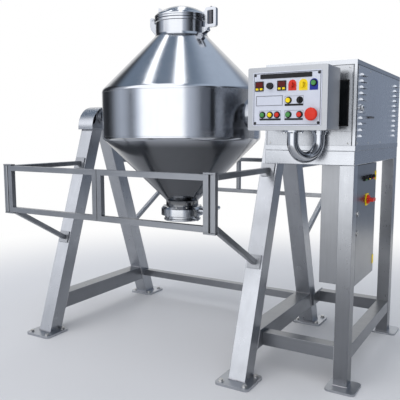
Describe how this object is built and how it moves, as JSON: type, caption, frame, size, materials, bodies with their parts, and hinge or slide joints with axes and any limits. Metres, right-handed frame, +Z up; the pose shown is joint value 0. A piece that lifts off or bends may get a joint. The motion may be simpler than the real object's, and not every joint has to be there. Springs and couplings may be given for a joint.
{
  "type": "double cone mixer",
  "caption": "Double cone powder mixer that turns on trunnions between A-frames, with a drive cabinet, swivelling control panel and gated guard.",
  "frame": {"origin": "on the floor under the middle of the whole machine", "axes": "+X along the trunnion axis towards the drive cabinet, -Y towards the gate, +Z up"},
  "size_m": [2.1394, 1.728, 2.17],
  "materials": {
    "steel": "satin",
    "polished": "polished",
    "cast": "painted",
    "motor": "semi-gloss",
    "plate": "satin",
    "light_plastic": "matt",
    "black_plastic": "matt",
    "red_plastic": "gloss",
    "yellow_plastic": "gloss",
    "green_plastic": "gloss"
  },
  "bodies": {
    "frame": {"legs": "steel", "low_beams": "steel", "foot_plates": "steel", "anchor_bolts": "steel", "seat_plates": "steel", "bearings": "cast", "hoods": "steel", "stand_posts": "steel", "stand_rails": "steel", "base_tray": "steel", "cabinet": "steel", "front_cover": "steel", "louvre_panel": "steel", "gearmotor": "motor", "ebox": "steel", "ebox_gear": "light_plastic", "guard_posts": "steel", "guard_arms": "steel", "guard_struts": "steel", "guard_brackets": "steel", "gate_hinges": "steel", "rear_rails": "steel", "swivel_collar": "steel"},
    "vessel": {"shell": "polished", "trunnions": "steel", "charge_neck": "steel", "valve_body": "steel", "outlet_ring": "steel"},
    "panel_arm": {"swivel_pipe": "steel", "panel_box": "steel", "panel_plate": "plate", "panel_trim": "black_plastic", "bezels": "black_plastic", "lamp_green": "green_plastic", "lamp_yellow": "yellow_plastic", "lamp_red": "red_plastic"},
    "electrical_door": {"ebox_door": "steel", "phase_lamps": "black_plastic"},
    "lid": {"lid": "polished"},
    "clamp": {"clamp_frame": "steel"},
    "clamp_screw": {"clamp_barrel": "black_plastic"},
    "valve": {"valve_disc": "steel"},
    "gate_leaf_left": {"gate_left": "steel"},
    "gate_leaf_right": {"gate_right": "steel"},
    "latch_upper": {"door_latch_upper": "steel"},
    "latch_lower": {"door_latch_lower": "steel"},
    "isolator_handle": {"isolator": "red_plastic"},
    "display_key_1": {"key_1": "yellow_plastic"},
    "display_key_2": {"key_2": "yellow_plastic"},
    "display_key_3": {"key_3": "yellow_plastic"},
    "display_key_4": {"key_4": "yellow_plastic"},
    "knob": {"speed_knob": "black_plastic"},
    "red_selector": {"selector_red": "red_plastic"},
    "yellow_selector": {"selector_yellow": "yellow_plastic"},
    "black_selector": {"selector_black": "black_plastic"},
    "blue_plate_button": {"button_blue": "green_plastic"},
    "yellow_button": {"button_yellow": "yellow_plastic"},
    "green_button": {"button_green": "green_plastic"},
    "red_button": {"button_red": "red_plastic"},
    "stop_button": {"estop": "red_plastic"}
  },
  "joints": [
    {"name": "vessel_spin", "type": "hinge", "parent": "frame", "child": "vessel", "pos_m": [-0.24475, 0, 1.46], "axis": [1, 0, 0], "continuous": true},
    {"name": "lid_hinge", "type": "hinge", "parent": "vessel", "child": "lid", "pos_m": [-0.45975, 0, 2.0899], "axis": [0, -1, 0], "range_deg": [0, 110]},
    {"name": "clamp_swing", "type": "hinge", "parent": "vessel", "child": "clamp", "pos_m": [-0.05175, 0, 1.998], "axis": [0, 1, 0], "range_deg": [0, 75]},
    {"name": "clamp_screw_turn", "type": "hinge", "parent": "clamp", "child": "clamp_screw", "pos_m": [-0.02075, 0, 1.998], "axis": [0, 0, 1], "continuous": true},
    {"name": "valve_turn", "type": "hinge", "parent": "vessel", "child": "valve", "pos_m": [-0.24475, 0, 0.8245], "axis": [1, 0, 0], "range_deg": [-90, 0]},
    {"name": "gate_left_hinge", "type": "hinge", "parent": "frame", "child": "gate_leaf_left", "pos_m": [-0.93175, -0.849, 0.862], "axis": [0, 0, 1], "range_deg": [-100, 0]},
    {"name": "gate_right_hinge", "type": "hinge", "parent": "frame", "child": "gate_leaf_right", "pos_m": [0.44225, -0.849, 0.862], "axis": [0, 0, 1], "range_deg": [0, 100]},
    {"name": "panel_swivel", "type": "hinge", "parent": "frame", "child": "panel_arm", "pos_m": [0.84325, -0.416, 1.503], "axis": [0, 0, 1], "range_deg": [0, 30]},
    {"name": "electrical_door_hinge", "type": "hinge", "parent": "frame", "child": "electrical_door", "pos_m": [1.00625, 0.108, 0.983], "axis": [0, 0, 1], "range_deg": [0, 120]},
    {"name": "latch_upper_turn", "type": "hinge", "parent": "electrical_door", "child": "latch_upper", "pos_m": [1.01525, -0.28, 0.924], "axis": [1, 0, 0], "range_deg": [0, 90]},
    {"name": "latch_lower_turn", "type": "hinge", "parent": "electrical_door", "child": "latch_lower", "pos_m": [1.01525, -0.28, 0.821], "axis": [1, 0, 0], "range_deg": [0, 90]},
    {"name": "isolator_turn", "type": "hinge", "parent": "electrical_door", "child": "isolator_handle", "pos_m": [1.01525, -0.104, 0.983], "axis": [1, 0, 0], "range_deg": [-90, 0]},
    {"name": "knob_turn", "type": "hinge", "parent": "panel_arm", "child": "knob", "pos_m": [0.67336, -0.645, 1.56495], "axis": [0, 1, 0], "range_deg": [-135, 135]},
    {"name": "red_selector_turn", "type": "hinge", "parent": "panel_arm", "child": "red_selector", "pos_m": [0.78544, -0.645, 1.56495], "axis": [0, 1, 0], "range_deg": [0, 90]},
    {"name": "yellow_selector_turn", "type": "hinge", "parent": "panel_arm", "child": "yellow_selector", "pos_m": [0.83922, -0.645, 1.56495], "axis": [0, 1, 0], "range_deg": [-45, 45]},
    {"name": "black_selector_turn", "type": "hinge", "parent": "panel_arm", "child": "black_selector", "pos_m": [0.82326, -0.645, 1.49506], "axis": [0, 1, 0], "range_deg": [-45, 45]},
    {"name": "display_key_1_press", "type": "slide", "parent": "panel_arm", "child": "display_key_1", "axis": [0, 1, 0], "range_m": [0, 0.0012], "stiffness_N_per_m": 300},
    {"name": "display_key_2_press", "type": "slide", "parent": "panel_arm", "child": "display_key_2", "axis": [0, 1, 0], "range_m": [0, 0.0012], "stiffness_N_per_m": 300},
    {"name": "display_key_3_press", "type": "slide", "parent": "panel_arm", "child": "display_key_3", "axis": [0, 1, 0], "range_m": [0, 0.0012], "stiffness_N_per_m": 300},
    {"name": "display_key_4_press", "type": "slide", "parent": "panel_arm", "child": "display_key_4", "axis": [0, 1, 0], "range_m": [0, 0.0012], "stiffness_N_per_m": 300},
    {"name": "blue_plate_button_press", "type": "slide", "parent": "panel_arm", "child": "blue_plate_button", "axis": [0, 1, 0], "range_m": [0, 0.004], "stiffness_N_per_m": 400},
    {"name": "yellow_button_press", "type": "slide", "parent": "panel_arm", "child": "yellow_button", "axis": [0, 1, 0], "range_m": [0, 0.004], "stiffness_N_per_m": 400},
    {"name": "green_button_press", "type": "slide", "parent": "panel_arm", "child": "green_button", "axis": [0, 1, 0], "range_m": [0, 0.004], "stiffness_N_per_m": 400},
    {"name": "red_button_press", "type": "slide", "parent": "panel_arm", "child": "red_button", "axis": [0, 1, 0], "range_m": [0, 0.004], "stiffness_N_per_m": 400},
    {"name": "stop_button_press", "type": "slide", "parent": "panel_arm", "child": "stop_button", "axis": [0, 1, 0], "range_m": [0, 0.005], "stiffness_N_per_m": 600}
  ]
}
